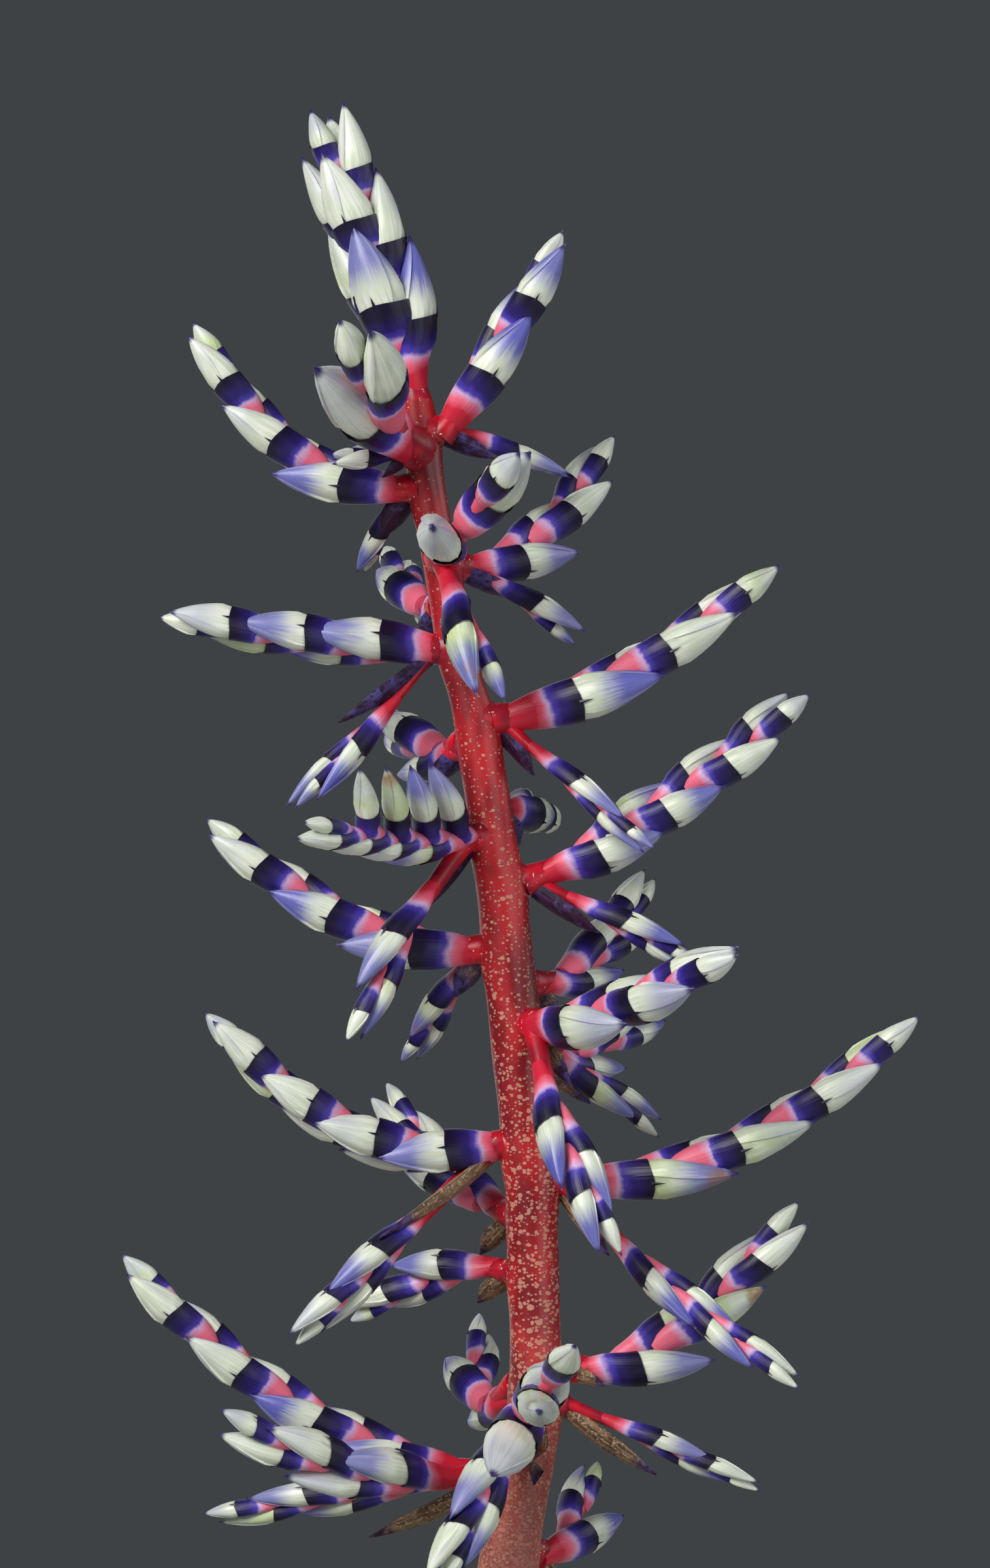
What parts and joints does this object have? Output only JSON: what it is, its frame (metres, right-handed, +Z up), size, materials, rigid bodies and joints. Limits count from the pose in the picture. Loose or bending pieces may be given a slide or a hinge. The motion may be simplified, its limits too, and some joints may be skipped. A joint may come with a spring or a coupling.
{
  "type": "potted bromeliad in flower",
  "caption": "Bromeliad in a clay pot: a rosette of spiny strap leaves and a tall red flower stem with branched, two-ranked spikes of white flowers in violet bracts.",
  "frame": {"origin": "centre of the pot's underside, on the surface that the pot stands on", "axes": "+Z up along the plant; -Y towards the viewer; +X to the viewer's right"},
  "size_m": [0.6661, 0.6357, 0.8533],
  "materials": {
    "clay": "unglazed fired clay",
    "soil": "bark and peat potting mix",
    "stem": "red with cream scurf",
    "leaf": "satin green with pale cross bands of scurf",
    "flower": "waxy cream-white flowers, violet bracts and pink stalks"
  },
  "bodies": {
    "root": {"pot": "clay", "soil": "soil", "flower_stem": "stem", "leaf_01": "leaf", "leaf_02": "leaf", "leaf_03": "leaf", "leaf_04": "leaf", "leaf_05": "leaf", "leaf_06": "leaf", "leaf_07": "leaf", "leaf_08": "leaf", "leaf_09": "leaf", "leaf_10": "leaf", "leaf_11": "leaf", "leaf_12": "leaf", "leaf_13": "leaf", "leaf_14": "leaf", "leaf_15": "leaf", "branch_01": "flower", "branch_02": "flower", "branch_03": "flower", "branch_04": "flower", "branch_05": "flower", "branch_06": "flower", "branch_07": "flower", "branch_08": "flower", "branch_09": "flower", "branch_10": "flower", "branch_11": "flower", "branch_12": "flower", "branch_13": "flower", "branch_14": "flower", "branch_15": "flower", "branch_16": "flower", "branch_17": "flower", "branch_18": "flower", "branch_19": "flower", "branch_20": "flower", "branch_21": "flower", "branch_22": "flower", "branch_23": "flower", "branch_24": "flower", "branch_25": "flower", "branch_26": "flower", "top_spike": "flower"}
  },
  "joints": []
}
